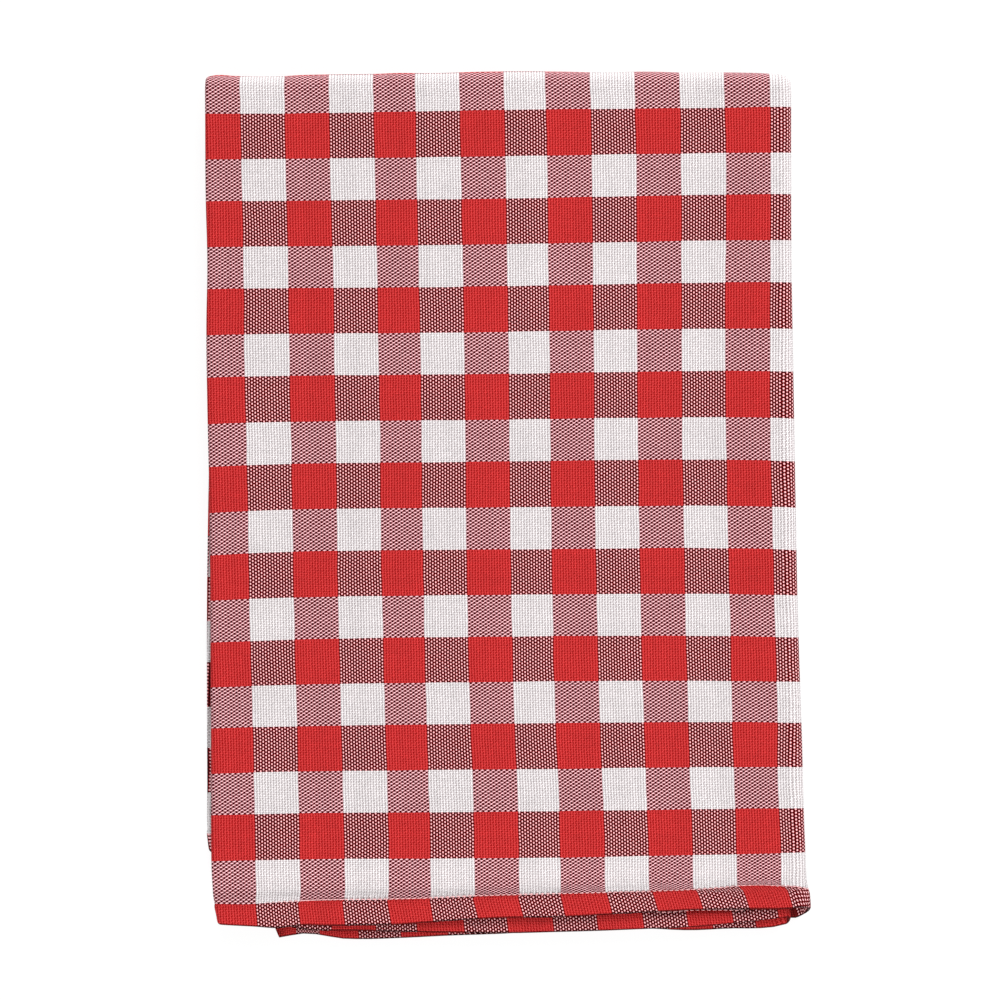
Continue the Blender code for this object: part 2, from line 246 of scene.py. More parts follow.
# How far the hem's band leans, in thousandths sideways for each unit down, and how far it lies to
# the right of the cloth that it is sewn to.
HEM_LEAN = {
    "columns": ("across", "lean", "shift"),
    "rows": (
        (-92, 50, 0.0), (-76, 70, 0.0), (-63, 130, -0.6), (-50, 120, -0.6), (-36, 160, -0.3),
        (-23, 170, -0.3), (-10, 240, -0.65), (4, 265, -0.6), (17, 240, -0.25), (31, 266, 0.2),
        (44, 285, 0.55), (58, 310, 0.35), (72, 310, 0.6), (85, 310, 0.75), (92, 230, 0.75),
    ),
}
SHIFT_LENGTH = 0.0006      # over which the hem's band is set over


# ---- Small helpers ------------------------------------------------------------------------------

def rows_of(table):
    return [dict(zip(table["columns"], row)) for row in table["rows"]]


def ease(t):
    t = np.clip(t, 0.0, 1.0)
    return 0.5 - 0.5 * np.cos(np.pi * t)


def mix(a, b, t):
    return a + (b - a) * t


def curve(table, key, column):
    """A smooth curve through a table's rows, for arrays. Both its columns are taken times MM."""
    rows = rows_of(table)
    at = np.array([row[key] for row in rows], float) * MM
    to = np.array([row[column] for row in rows], float) * MM
    widths = np.diff(at)
    steps = np.diff(to) / widths
    slopes = np.concatenate(([steps[0]], (steps[:-1] + steps[1:]) / 2, [steps[-1]]))

    def read(value):
        value = np.clip(value, at[0], at[-1])
        i = np.clip(np.searchsorted(at, value, side="right") - 1, 0, len(widths) - 1)
        width = widths[i]
        t = (value - at[i]) / width
        return (
            (2 * t**3 - 3 * t**2 + 1) * to[i]
            + (t**3 - 2 * t**2 + t) * width * slopes[i]
            + (3 * t**2 - 2 * t**3) * to[i + 1]
            + (t**3 - t**2) * width * slopes[i + 1]
        )
    return read


EDGES = {
    side: {name: curve(table, "down", name) for name in ("left", "outer", "inner")}
    for side, table in ((1, FRONT_EDGES), (-1, BACK_EDGES))
}
HEMS = {name: curve(HEM_EDGES, "across", name) for name in ("under", "tail", "second", "front")}
THICKNESS = curve(HEM_PROFILE, "from_hem", "thick")
TOP = curve(TOP_EDGE, "across", "up")
SLOPE = curve(SLOPE_START, "across", "down")
LEAN, SHIFT = curve(HEM_LEAN, "across", "lean"), curve(HEM_LEAN, "across", "shift")
END_LINES = {end: curve(FRONT_ENDS, "down", end) for end in FRONT_ENDS["columns"][1:]}
HEM_ENDS = {
    "second": curve(SECOND_HEM_ENDS, "across", "end"),
    "tail": curve(TAIL_HEM_ENDS, "across", "end"),
}
LINE_MOVE = curve(LINE_SHIFT, "across", "down")
TAIL_INSET = curve(TAIL_EDGE, "down", "inset")
SECOND_BAND = curve(SECOND_HEM, "across", "band")

# ---- The section --------------------------------------------------------------------------------

# The panels' layers from the floor up, the two panels that each fold joins, the two places between
# which each panel runs, and how far each fold bulges.
LEVELS = {"under": 0, "tail": 1, "second": 2, "front": 3}
FOLDS = {"outer": ("under", "front"), "left": ("front", "second"), "inner": ("second", "tail")}
RUNS = {
    "under": ("free_under", "outer"), "front": ("outer", "left"), "second": ("left", "inner"),
    "tail": ("inner", "free_tail"),
}
REACH = {"outer": OUTER_FOLD_REACH, "left": SIDE_FOLD_REACH, "inner": SIDE_FOLD_REACH}


def edge_places(side, down):
    """Where the middle of the cloth runs at the section's folds and free edges."""
    places = {name: EDGES[side][name](down) for name in ("left", "outer", "inner")}
    half = CLOTH_THICK / 2
    places["left"] = places["left"] + half
    places["outer"] = places["outer"] - half
    places["inner"] = places["inner"] - half
    places["free_under"] = places["left"] + UNDER_EDGE_INSET
    places["free_tail"] = places["left"] + TAIL_INSET(down)
    return places


def inward(name):
    """From a fold's outermost place to where its panels start."""
    return REACH[name] if name == "left" else -REACH[name]


def section_point(part, kind, t, places, pitch):
    """Across and up in the flat stack, and the outward direction of the cloth's face."""
    if kind == "panel":
        start, end = (
            places[name] + (0 if name.startswith("free") else inward(name)) for name in RUNS[part]
        )
        facing = 1.0 if part in ("front", "tail") else -1.0
        return mix(start, end, t), (LEVELS[part] + 0.5) * pitch, 0.0, facing
    low, high = (LEVELS[name] + 0.5 for name in FOLDS[part])
    middle, rise = (low + high) / 2 * pitch, (high - low) / 2 * pitch
    reach = -REACH[part] if part == "left" else REACH[part]
    angle = np.pi * (t - 0.5)
    across, up = np.cos(angle) * reach, np.sin(angle) * rise
    face = np.cos(angle) / reach, np.sin(angle) / rise
    size = np.hypot(*face) * (-1 if part == "inner" else 1)
    return places[part] - reach + across, middle + up, face[0] / size, face[1] / size


def panel_reach(name, across, side):
    """How far down a panel's hem lies here."""
    if side < 0:
        t = np.clip(across / TOWEL_SPAN + 0.5, 0.0, 1.0)
        return mix(*BACK_HEMS[name], t) * MM
    return HEMS[name](across)


def hem_reach(part, kind, t, across, side):
    """The same for any part of the section. A fold's hem runs from one panel's to the other's."""
    first, last = (panel_reach(name, across, side) for name in FOLDS.get(part, (part, part)))
    return mix(first, last, ease(t) if kind == "fold" else 0.0)


def spread(down, shortest):
    """0 in the body and 1 where the hems lie on each other."""
    return ease((down - shortest + HEM_RISE_START) / HEM_RISE_LENGTH)


def shortest_hem(side, across):
    reaches = [panel_reach(name, across, side) for name in LEVELS]
    return np.minimum.reduce(reaches)


# ---- The crosswise fold -------------------------------------------------------------------------

TOP_LEVEL = max(LEVELS.values()) + 0.5
BODY_TOP = TOP_LEVEL * LAYER_PITCH + CLOTH_THICK / 2 + CLEARANCE   # the back half's top
HEM_TOP = TOP_LEVEL * HEM_PITCH + HEM_THICK / 2 + CLEARANCE        # and its hems' top
FOLD_SIZE = FOLD_RADIUS + BODY_TOP
FRONT_BASE = FOLD_SIZE + FOLD_RADIUS
GROUND_BASE = -(0.5 * HEM_PITCH - HEM_THICK / 2) + CLEARANCE
LEAN_STEP = 0.0002         # to each side, between which the slope is taken


def front_base(down, across):
    """Height of the front half's base line: level, over the back half's hems, then down."""
    bump = (HEM_TOP - BODY_TOP) * spread(down, shortest_hem(-1, across))
    fall = ease((down - SLOPE(across)) / SLOPE_LENGTH)
    return mix(FRONT_BASE + bump, GROUND_BASE, fall)


def base_slope(down, across):
    """How steeply the front half comes down here, and how long its slope is for each unit down."""
    above, below = (front_base(down + step, across) for step in (-LEAN_STEP, LEAN_STEP))
    lean = (above - below) / (2 * LEAN_STEP)
    return lean, np.hypot(1.0, lean)


def top_line(across):
    return mix(TOP_LEFT, TOP_RIGHT, across / TOWEL_SPAN + 0.5)


def top_edge(across, down):
    """How far up the crosswise fold reaches. Its unevenness dies away from the fold."""
    return mix(top_line(across), TOP(across), np.exp(-((down / FADE_LENGTH) ** 2)))


def fullness(across, up):
    """By how much the swells raise the cloth here, 1 being not at all."""
    total = 1.0
    for swell in rows_of(SWELLS):
        sideways = (across / MM - swell["across"]) / swell["wide"]
        lengthways = (up / MM - swell["up"]) / swell["long"]
        total = total + swell["share"] * np.exp(-(sideways**2) - lengthways**2)
    return total


def through(places, values, at):
    """The value at one place of the smooth curve that has these values at these places."""
    total = 0.0
    for place, value in zip(places, values):
        for other in places:
            if other is not place:
                value = value * (at - other) / (place - other)
        total = total + value
    return total


# ---- Which threads lie where --------------------------------------------------------------------

FIVE_PLACES = (0.0, 0.25, 0.5, 0.75, 1.0)
LINES = [(row[0], [down * MM for down in row[1:]]) for row in ROW_LINES["rows"]]
COUNTS = {row["panel"]: row for row in rows_of(END_COUNTS)}
HEM_LINE_PICKS = LINES[-1][0]
HEM_LINE_HEIGHT = TOP_LEVEL * HEM_PITCH + 0.3 * MM   # of the stitches, over the base line
LINE_ROUNDS = 6            # in which the line of stitches is found on the slope
BACK_STRETCH = 1.02        # how much denser the picks lie on the back half
END_HOLD = 4               # how closely the hems' own warp counts keep to the bottom
SECOND_MARGIN = 0.0006     # from the second panel's stitches up to where its white rows start
# How much of the hem's lean each panel takes, below zero where its threads are counted rightwards.
HEM_SLANT = {"under": 0.7, "front": -1.0, "second": 0.5, "tail": -0.7}


def front_picks(down, across):
    """Which pick lies here on the front half, counted from the first red row."""
    t = across / TOWEL_SPAN + 0.5
    places = [through(FIVE_PLACES, line, t) for _, line in LINES]
    places[-1] = places[-1] + LINE_MOVE(across)
    picks = LINES[0][0] + (down - places[0]) / PICK
    for (n, _), (m, _), near, far in zip(LINES, LINES[1:], places, places[1:]):
        inside = (down > near) if m == HEM_LINE_PICKS else (down > near) & (down <= far)
        picks = np.where(inside, n + (m - n) * (down - near) / (far - near), picks)
    return picks


def hem_line(across):
    """How far down the front panel's line of stitches lies, along the base line below it."""
    line = through(FIVE_PLACES, LINES[-1][1], across / TOWEL_SPAN + 0.5) + LINE_MOVE(across)
    down = line
    for _ in range(LINE_ROUNDS):
        lean, size = base_slope(down, across)
        down = line - HEM_LINE_HEIGHT * lean / size
    return down


def front_end(across, down):
    """Which warp thread lies here on the front panel."""
    lines = [line(down) for line in END_LINES.values()]
    return through(lines, END_LINES, across)


def end_count(part, kind, t, places, across, down):
    """Which warp thread runs through this point of the section."""
    low = np.clip(down / (CLOTH_LENGTH / 2), 0.0, 1.0)

    def count(panel, which):
        if panel == "front":
            edge = RUNS[panel][0 if which == "start" else 1]
            return front_end(places[edge] + inward(edge), down)
        row = COUNTS[panel]
        return mix(row[which + "_top"], row[which + "_bottom"], low)

    if part == "front":
        return front_end(across, down)
    if kind == "panel":
        number = mix(count(part, "start"), count(part, "end"), t)
        if part in HEM_ENDS:
            number = mix(number, HEM_ENDS[part](across) / MM, low ** END_HOLD)
        return number
    first, last = FOLDS[part]
    return mix(count(first, "end"), count(last, "start"), t)


def front_share(part, t):
    """1 on the front panel, falling to 0 round the lower half of the two folds beside it."""
    return {"front": 1.0, "outer": ease(2 * t), "left": ease(2 - 2 * t)}.get(part, 0.0)


def hem_end_count(ends, part, t, across, beyond):
    """The warp threads on the hem's band, which leans and is set over. Above it, beyond is 0."""
    slant = mix(*(HEM_SLANT[name] for name in FOLDS.get(part, (part, part))), ease(t))
    set_over = SHIFT(across) * ease(beyond / SHIFT_LENGTH) * front_share(part, t)
    ends = ends + slant * LEAN(across) * beyond / END
    return ends - set_over / END


def pick_count(part, t, side, turn, across, y, down, line, beyond):
    """Which pick lies here. turn is the angle round the crosswise fold."""
    edge = top_line(across)
    tangent = front_picks(edge - top_edge(across, down) + FOLD_SIZE, across)
    arc = FOLD_RADIUS + TOP_LEVEL * LAYER_PITCH
    if side == 0:
        return tangent - (np.pi / 2 - turn) * arc / PICK
    if side < 0:
        return tangent - np.pi * arc / PICK - (down - FOLD_SIZE) * BACK_STRETCH / PICK
    own = mix(tangent, HEM_LINE_PICKS, (down - FOLD_SIZE) / (line - FOLD_SIZE))
    picks = mix(own, front_picks(edge - y, across), front_share(part, t))
    picks = np.where(beyond > 0, HEM_LINE_PICKS + beyond / PICK, picks)
    return picks + SECOND_MARGIN / PICK if part == "second" else picks


# ---- Folding the flat slab ----------------------------------------------------------------------

FAR_FROM_HEM = 1.0         # stands for the distance in the rows of the body
RIM_REACH = 0.010          # how far from the hems their distance is kept for the material


def row_place(part, kind, t, side, row_kind, value):
    """Where a row of the flat slab lies.

    Found are how far down it is, its distance from the hem, how far down the line of stitches is,
    and how far beyond that line the row is.
    """
    if side == 0:
        down = np.zeros_like(value)
        return down, down + FAR_FROM_HEM, down, down
    at_hem = edge_places(side, HEM_DOWN[side] + 0.0 * value)
    across = section_point(part, kind, t, at_hem, LAYER_PITCH)[0]
    length = hem_reach(part, kind, t, across, side)
    band = np.full_like(across, HEM_WIDTH)
    if side > 0:
        own_band = SECOND_BAND(across) if part == "second" else HEM_WIDTH
        band = mix(own_band, length - hem_line(across), front_share(part, t))
    if row_kind == "end":
        stretched = np.where(
            value < HEM_WIDTH, value * band / HEM_WIDTH, value - HEM_WIDTH + band)
        down = length - stretched
        from_hem = value + 0.0 * down
        beyond = np.clip(HEM_WIDTH - from_hem, 0.0, None) * band / HEM_WIDTH
        return down, from_hem, length - band, beyond
    ends = FRONT_END_ROWS if side > 0 else BACK_END_ROWS
    body_end = length - (max(ends) * MM - HEM_WIDTH + band)
    down = mix(FOLD_SIZE, body_end, value)
    return down, np.full_like(down, FAR_FROM_HEM), length - band, np.zeros_like(down)


def carried_over(side, turn, across, up, down, near_hem):
    """Where a point of the flat stack lies along and over the towel, once folded crosswise."""
    reach = top_edge(across, down)
    if side == 0:
        radius = FOLD_RADIUS + up
        y = reach - FOLD_SIZE + radius * np.cos(turn)
        z = FOLD_SIZE + radius * np.sin(turn)
    elif side < 0:
        y = reach - down
        z = mix(BODY_TOP, HEM_TOP, near_hem) - up
    else:
        lean, size = base_slope(down, across)
        y = reach - down - up * lean / size
        z = front_base(down, across) + up / size
    return y, z * fullness(across, y)


def fold_cloth(part, kind, t, side, row_kind, value, face):
    """Points of the flat slab once folded, with their threads, rim and share on top.

    side is 1 on the front half, -1 on the back half and 0 round the crosswise fold. value is the
    distance from the hem, the share of the way down to the hem's rows, or the angle round the fold.
    face is 1 on the cloth's face and -1 on its back. t and value may be arrays.
    """
    value = np.asarray(value, float)
    down, from_hem, line, beyond = row_place(part, kind, t, side, row_kind, value)
    places = edge_places(side or 1, down)
    across = section_point(part, kind, t, places, LAYER_PITCH)[0]
    near_hem = spread(down, shortest_hem(side, across)) if side else 0.0
    pitch = mix(LAYER_PITCH, HEM_PITCH, near_hem)
    across, up, face_across, face_up = section_point(part, kind, t, places, pitch)
    thick = np.where(from_hem < max(FRONT_END_ROWS) * MM, THICKNESS(from_hem), CLOTH_THICK)
    half = thick / 2 * face
    across = across + face_across * half
    up = up + face_up * half
    y, z = carried_over(side, value, across, up, down, near_hem)

    ends = end_count(part, kind, t, places, across, down)
    if side > 0:
        ends = hem_end_count(ends, part, t, across, beyond)
    picks = pick_count(part, t, side, value, across, y, down, line, beyond)
    x, y, z = np.broadcast_arrays(across, y, z)
    threads = np.broadcast_arrays(
        (ends + FIRST_END) / THREADS_PER_UNIT, (picks + FIRST_PICK) / THREADS_PER_UNIT,
        np.minimum(from_hem, RIM_REACH) / RIM_REACH, front_share(part, t) + 0.0 * from_hem)
    return np.stack((x, y, z), -1), np.stack(threads, -1)


# ---- The cloth ----------------------------------------------------------------------------------

def row_blocks():
    """The rows of points in the cloth's order, from its back hem to its front hem."""
    return (
        (-1, "end", np.array(BACK_END_ROWS) * MM),
        (-1, "body", 1 - np.arange(1, BACK_STEPS) / BACK_STEPS),
        (0, "turn", np.linspace(-np.pi / 2, np.pi / 2, FOLD_STEPS + 1)),
        (1, "body", np.arange(1, FRONT_STEPS) / FRONT_STEPS),
        (1, "end", np.array(FRONT_END_ROWS)[::-1] * MM),
    )


def column_list():
    """The columns of points: their part of the section and how far along it they lie, 0 to 1."""
    columns = []
    for i, row in enumerate(rows_of(SECTION)):
        for step in range(0 if i == 0 else 1, row["steps"] + 1):
            columns.append((row["part"], row["kind"], step / row["steps"]))
    return columns


def cloth_grid(face):
    """Points and threads of one face of the slab, as arrays of rows by columns."""
    columns = []
    for part, kind, t in column_list():
        found = [fold_cloth(part, kind, t, *block, face) for block in row_blocks()]
        columns.append([np.concatenate(arrays) for arrays in zip(*found)])
    return [np.stack(arrays, 1) for arrays in zip(*columns)]


def add_object(name, data):
    found = bpy.data.objects.new(name, data)
    bpy.context.scene.collection.objects.link(found)
    return found


def build_cloth():
    top, threads = cloth_grid(1)
    under, _ = cloth_grid(-1)
    rows, columns = top.shape[:2]
    count = rows * columns
    index = np.arange(count).reshape(rows, columns)
    a, b, c, d = index[:-1, :-1], index[:-1, 1:], index[1:, 1:], index[1:, :-1]
    faces = [
        np.stack((a, b, c, d), -1).reshape(-1, 4),
        np.stack((d, c, b, a), -1).reshape(-1, 4) + count,
    ]
    for line in (index[:, 0], index[-1, :], index[::-1, -1], index[0, ::-1]):
        faces.append(np.stack((line[1:], line[:-1], line[:-1] + count, line[1:] + count), -1))
    faces = np.concatenate(faces)
    points = np.concatenate((top.reshape(-1, 3), under.reshape(-1, 3)))
    mesh = bpy.data.meshes.new("folded_cloth")
    mesh.from_pydata(points.tolist(), [], faces.tolist())
    mesh.update()
    corners = np.concatenate((threads.reshape(-1, 4),) * 2)[faces.ravel()].astype(np.float32)
    for name, first in (("threads", 0), ("rim", 2)):
        layer = mesh.uv_layers.new(name=name)
        layer.data.foreach_set("uv", corners[:, first:first + 2].ravel())
    mesh.shade_smooth()
    work = bmesh.new()
    work.from_mesh(mesh)
    if work.calc_volume(signed=True) < 0:
        bmesh.ops.reverse_faces(work, faces=work.faces)
        work.to_mesh(mesh)
    work.free()
    return add_object("folded_cloth", mesh)


# ---- The sewing along both hems -----------------------------------------------------------------

STITCH_FROM_HEM = 7.15 * MM
STITCH_LENGTH, STITCH_GAP = 1.25 * MM, 0.45 * MM
STITCH_RADIUS = 0.15 * MM
STITCH_SIDES = 6
# A stitch from end to end: the share of its length, its height over the cloth, and the share of its
# radius.
STITCH_SHAPE = {
    "columns": ("along", "up", "thick"),
    "rows": ((0.0, -0.12, 0.4), (0.14, 0.10, 0.9), (0.5, 0.18, 1.0), (0.86, 0.10, 0.9),
             (1.0, -0.12, 0.4)),
}
# How far the stitches are pulled into the cloth.
STITCH_SINK = {"columns": ("across", "up"),
               "rows": ((-92, -0.34), (-78, -0.34), (-62, -0.04), (92, 0.0))}
STITCH_LIFT = curve(STITCH_SINK, "across", "up")
PATH_STEPS = 90            # along each part of the section


def stitch_path(side):
    """The line of stitches across the whole cloth, on its face and on its back."""
    faces = []
    for face in (1, -1):
        line = []
        for i, row in enumerate(rows_of(SECTION)):
            t = np.linspace(0.0, 1.0, PATH_STEPS)[0 if i == 0 else 1:]
            value = np.full_like(t, STITCH_FROM_HEM)
            points, _ = fold_cloth(row["part"], row["kind"], t, side, "end", value, face)
            line.append(points)
        faces.append(np.concatenate(line))
    return faces


def stitch_rings(path, outward):
    """Rings of points round every stitch on a path, as stitches by rings by sides by xyz."""
    lengths = np.concatenate(([0.0], np.cumsum(np.linalg.norm(np.diff(path, axis=0), axis=1))))
    pace = STITCH_LENGTH + STITCH_GAP
    starts = np.arange(STITCH_GAP, lengths[-1] - STITCH_LENGTH - STITCH_GAP, pace)

    def on(values, at):
        return np.stack([np.interp(at, lengths, values[:, k]) for k in range(3)], -1)

    angles = 2 * np.pi * np.arange(STITCH_SIDES) / STITCH_SIDES
    rings = []
    for row in rows_of(STITCH_SHAPE):
        at = starts + row["along"] * STITCH_LENGTH
        up = on(outward, at)
        up /= np.linalg.norm(up, axis=1)[:, None]
        ahead = on(path, at + STITCH_RADIUS) - on(path, at - STITCH_RADIUS)
        sideways = np.cross(ahead, up)
        sideways /= np.linalg.norm(sideways, axis=1)[:, None]
        middle = on(path, at)
        middle = middle + up * (row["up"] * MM + STITCH_LIFT(middle[:, 0]))[:, None]
        radius = STITCH_RADIUS * row["thick"]
        rings.append(
            middle[:, None]
            + radius * np.cos(angles)[None, :, None] * sideways[:, None]
            + radius * np.sin(angles)[None, :, None] * up[:, None]
        )
    rings = np.stack(rings, 1)
    rings[..., 2] = np.maximum(rings[..., 2], CLEARANCE)
    return rings


def build_stitches():
    points, faces = [], []
    for side in (1, -1):
        on_face, on_back = stitch_path(side)
        for path, outward in ((on_face, on_face - on_back), (on_back, on_back - on_face)):
            rings = stitch_rings(path, outward)
            stitches, rounds = rings.shape[:2]
            start = sum(len(group) for group in points)
            index = start + np.arange(stitches * rounds * STITCH_SIDES).reshape(rings.shape[:3])
            after = np.roll(index, -1, axis=2)
            sides = np.stack((index[:, :-1], after[:, :-1], after[:, 1:], index[:, 1:]), -1)
            faces += sides.reshape(-1, 4).tolist()
            faces += index[:, 0, ::-1].tolist() + index[:, -1].tolist()
            points.append(rings.reshape(-1, 3))
    mesh = bpy.data.meshes.new("hem_stitching")
    mesh.from_pydata(np.concatenate(points).tolist(), [], faces)
    mesh.update()
    work = bmesh.new()
    work.from_mesh(mesh)
    bmesh.ops.recalc_face_normals(work, faces=work.faces)
    work.to_mesh(mesh)
    work.free()
    mesh.shade_smooth()
    return add_object("hem_stitching", mesh)


# ---- Node formulas ------------------------------------------------------------------------------

class Term:
    """A value in a node tree that can be used in a formula."""

    def __init__(self, tree, socket):
        self.tree, self.socket = tree, socket

    def node(self, operation, *inputs):
        node = self.tree.nodes.new("ShaderNodeMath")
        node.operation = operation
        for slot, value in zip(node.inputs, inputs):
            if isinstance(value, Term):
                self.tree.links.new(value.socket, slot)
            else:
                slot.default_value = value
        return Term(self.tree, node.outputs[0])

    def __add__(self, other):
        return self.node("ADD", self, other)

    def __sub__(self, other):
        return self.node("SUBTRACT", self, other)

    def __mul__(self, other):
        return self.node("MULTIPLY", self, other)

    def __rsub__(self, other):
        return self.node("SUBTRACT", other, self)

    __radd__ = __add__

    def of(self, operation, *others):
        return self.node(operation, self, *others)

    def ramp(self, low, high):
        """0 below low and 1 above high, smooth between."""
        node = self.tree.nodes.new("ShaderNodeMapRange")
        node.interpolation_type = "SMOOTHSTEP"
        node.inputs["From Min"].default_value = low
        node.inputs["From Max"].default_value = high
        self.tree.links.new(self.socket, node.inputs["Value"])
        return Term(self.tree, node.outputs["Result"])


def vector_of(tree, *terms):
    node = tree.nodes.new("ShaderNodeCombineXYZ")
    for slot, term in zip(node.inputs, terms):
        tree.links.new(term.socket, slot)
    return node.outputs[0]


def uv_terms(tree, layer):
    """Both values of a UV layer."""
    node = tree.nodes.new("ShaderNodeUVMap")
    node.uv_map = layer
    parts = tree.nodes.new("ShaderNodeSeparateXYZ")
    tree.links.new(node.outputs[0], parts.inputs[0])
    return Term(tree, parts.outputs[0]), Term(tree, parts.outputs[1])


FIRST_COLOUR, SECOND_COLOUR, MIXED_COLOUR = 6, 7, 2   # which sockets of a Mix node hold colours


def colour_mix(tree, first, second, share):
    """first where share is 0 and second where it is 1. Both are a fixed colour or a socket."""
    node = tree.nodes.new("ShaderNodeMix")
    node.data_type = "RGBA"
    for place, value in ((FIRST_COLOUR, first), (SECOND_COLOUR, second)):
        if isinstance(value, tuple):
            node.inputs[place].default_value = (*value, 1.0)
        else:
            tree.links.new(value, node.inputs[place])
    tree.links.new(share.socket, node.inputs[0])
    return node.outputs[MIXED_COLOUR]


def scaled_colour(tree, colour, amount):
    node = tree.nodes.new("ShaderNodeVectorMath")
    node.operation = "SCALE"
    tree.links.new(colour, node.inputs[0])
    tree.links.new(amount.socket, node.inputs["Scale"])
    return node.outputs[0]


def noise(tree, u, v, scale, detail):
    """Smooth noise over the threads. scale holds its shares of u and of v."""
    node = tree.nodes.new("ShaderNodeTexNoise")
    node.noise_dimensions = "2D"
    node.inputs["Scale"].default_value = 1.0
    node.inputs["Detail"].default_value = detail
    tree.links.new(vector_of(tree, u * scale[0], v * scale[1]), node.inputs["Vector"])
    return node


def random_value(tree, *terms):
    """A value from 0 to 1 that is another one for each value of one term, or each pair of two."""
    node = tree.nodes.new("ShaderNodeTexWhiteNoise")
    if len(terms) == 2:
        node.noise_dimensions = "2D"
        tree.links.new(vector_of(tree, *terms), node.inputs["Vector"])
    else:
        node.noise_dimensions = "1D"
        tree.links.new(terms[0].socket, node.inputs["W"])
    return Term(tree, node.outputs["Value"])


def srgb(*values):
    """A colour given as it looks on screen, 0 to 255, as the shader's linear one."""
    return tuple(
        v / 255 / 12.92 if v / 255 <= 0.04045 else ((v / 255 + 0.055) / 1.055) ** 2.4
        for v in values
    )


# ---- The cloth's material -----------------------------------------------------------------------

LIGHT_LEVEL = 1.21         # how much light falls on the cloth, white paper being 1


def seen(*values):
    """The surface colour that is seen as this one, 0 to 255 on screen, in the scene's light."""
    return tuple(min(v / LIGHT_LEVEL, 1.0) for v in srgb(*values))


# Each kind of thread, in a painted lit and a painted shaded colour: on top of its float and down
# between its neighbours. A white thread that crosses red ones takes on some of their colour. A red
# thread that crosses white ones is painted much darker, as painted shade between the white floats.
THREADS = {
    "columns": ("kind", "lit", "shaded"),
    "rows": (
        ("white", (261, 256, 257), (139, 117, 120)),
        ("red", (230, 68, 69), (164, 0, 1)),
        ("white warp among red", (277, 217, 221), (208, 12, 18)),
        ("red weft among white", (80, 0, 6), (29, 5, 9)),
        ("white weft among red", (277, 220, 227), (140, 59, 68)),
        ("red warp among white", (36, 0, 6), (140, 1, 5)),
    ),
}
# Lengths are counted here in threads, and heights with a flat thread's top as 1.
WARP_HALF, WEFT_HALF = 0.324, 0.442   # half the visible width of a thread
CRIMP = 0.493              # how far a thread rises in its float and sinks where it is crossed
WEFT_TILT = 0.330          # how much a weft float rises to the right
BLEND = 0.187              # over which one thread gives way to the other, in height
DEPTH_FROM, DEPTH_TO = -0.069, 0.328   # how far below a float's top the shade starts and is full
PLAIN_DEPTH = {"white": 0.703, "red": 0.999}   # share of that shade where both threads are alike
WOBBLE = 0.55              # how far the threads stray
WOBBLE_SCALE, WOBBLE_DETAIL = (0.055, 0.040), 2.0
FIBRE_SCALE, FIBRE_DETAIL = (2.2, 1.4), 1.0
REPEATS_BELOW = 20         # whole repeats of the check, added so that no pick is below zero
OWN_SEED = 0.37            # keeps the picks' random values apart from the ends'

# How much lighter or darker each kind of unevenness makes the yarn.
FLOAT_LIGHT, END_LIGHT, PICK_LIGHT, MOTTLE_LIGHT, FIBRE_LIGHT = 0.10, 0.06, 0.04, 0.10, 0.16

RIM_FROM, RIM_TO, RIM_DEPTH = 0.30 * MM, 0.62 * MM, 0.75   # painted shade along each hem's edge, a dark line
BELOW_DEPTH = 0.05         # how much darker the hems below the front one are painted, as painted shade under it
# The hollow beside the outer fold, in which the under panel's hem lies in shade.
HOLLOW_ENDS, HOLLOW_PICKS, HOLLOW_DEPTH = (205.6, 206.4, 215.0, 221.0), (448.5, 450.5), 0.72

BUMP_STRENGTH, BUMP_DISTANCE, BUMP_FLOOR, FIBRE_BUMP = 0.5, 0.16 * MM, -1.0, 0.5
ROUGHNESS, FIBRE_ROUGHNESS = 0.78, 0.22
SPECULAR, SHEEN, SHEEN_ROUGHNESS = 0.05, 0.02, 0.5


def thread_height(rise, off, half):
    """How high a round thread is here: its rise at this place along it, off its middle line."""
    return rise - off * off * (1 / half**2) + 1.0


def weave(a, b, parity):
    """How far the warp thread shows here, and how high the cloth is.

    a and b run from -0.5 to 0.5 across the warp thread and the weft thread that cross here. The
    warp thread lies on top where parity is 1.
    """
    sign = parity * 2.0 - 1.0
    warp = thread_height(sign * (b * math.pi).of("COSINE") * CRIMP, a, WARP_HALF)
    weft = thread_height(sign * (a * math.pi).of("COSINE") * -CRIMP, b + a * WEFT_TILT, WEFT_HALF)
    return (warp - weft).ramp(-BLEND, BLEND), warp.of("MAXIMUM", weft)


def check(i, j):
    """Whether the warp thread is red here, and whether the weft thread is."""
    count = i - FIRST_END
    for place in NARROW_BANDS:
        count = count + count.of("GREATER_THAN", place - 0.5)
    warp_red = (count * (1 / ENDS)).of("FLOOR").of("PINGPONG", 1.0)
    pick = (j - FIRST_PICK + REPEATS_BELOW * REPEAT).of("MODULO", REPEAT)
    return warp_red, pick.of("LESS_THAN", RED_PICKS - 0.5)


def yarn_colour(tree, warp_red, weft_red, warp_shows, height):
    """The colour of the yarn here, between its lit and its shaded one."""
    depth = (1.0 - height).ramp(DEPTH_FROM, DEPTH_TO)
    mixed = (warp_red - weft_red).of("ABSOLUTE")
    plain = PLAIN_DEPTH["white"] + warp_red * (PLAIN_DEPTH["red"] - PLAIN_DEPTH["white"])
    shade = depth * (plain + mixed * (1.0 - plain))
    colours = {
        row["kind"]: colour_mix(tree, seen(*row["lit"]), seen(*row["shaded"]), shade)
        for row in rows_of(THREADS)
    }
    ways = [
        colour_mix(
            tree,
            colour_mix(tree, colours["white"], colours[f"white {way} among red"], mixed),
            colour_mix(tree, colours["red"], colours[f"red {way} among white"], mixed),
            is_red,
        )
        for way, is_red in (("weft", weft_red), ("warp", warp_red))
    ]
    return colour_mix(tree, *ways, warp_shows)


